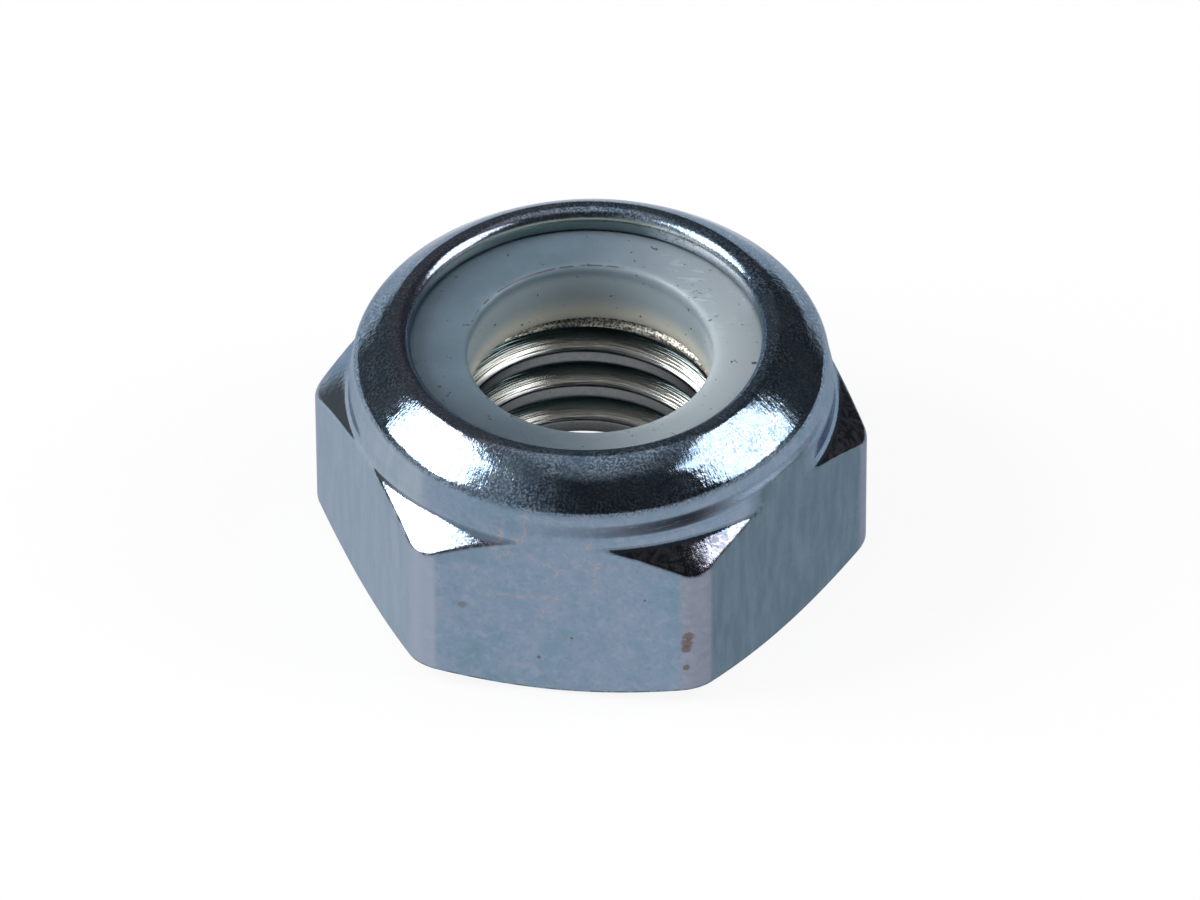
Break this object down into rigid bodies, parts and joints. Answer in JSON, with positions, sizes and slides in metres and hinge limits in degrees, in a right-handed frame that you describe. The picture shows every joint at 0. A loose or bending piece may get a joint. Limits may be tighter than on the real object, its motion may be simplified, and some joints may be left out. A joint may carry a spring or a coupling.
{
  "type": "nylon insert lock nut",
  "caption": "Thin hexagon lock nut with a nylon ring crimped into its collar, which grips the thread so the nut stays put.",
  "frame": {"origin": "centre of the bearing face, on the axis of the thread", "axes": "+Z along the axis of the thread, from the bearing face to the collar; two of the flats face +Y and -Y, and two corners lie on +X and -X"},
  "size_m": [0.0148, 0.013, 0.0072],
  "materials": {
    "zinc_plated_steel": "bright zinc plating with a faint blue tint, slightly grainy on the crimped collar",
    "nylon": "milky translucent nylon, smooth, with small specks"
  },
  "bodies": {
    "root": {"nut_body": "zinc_plated_steel", "nylon_insert": "nylon"}
  },
  "joints": []
}
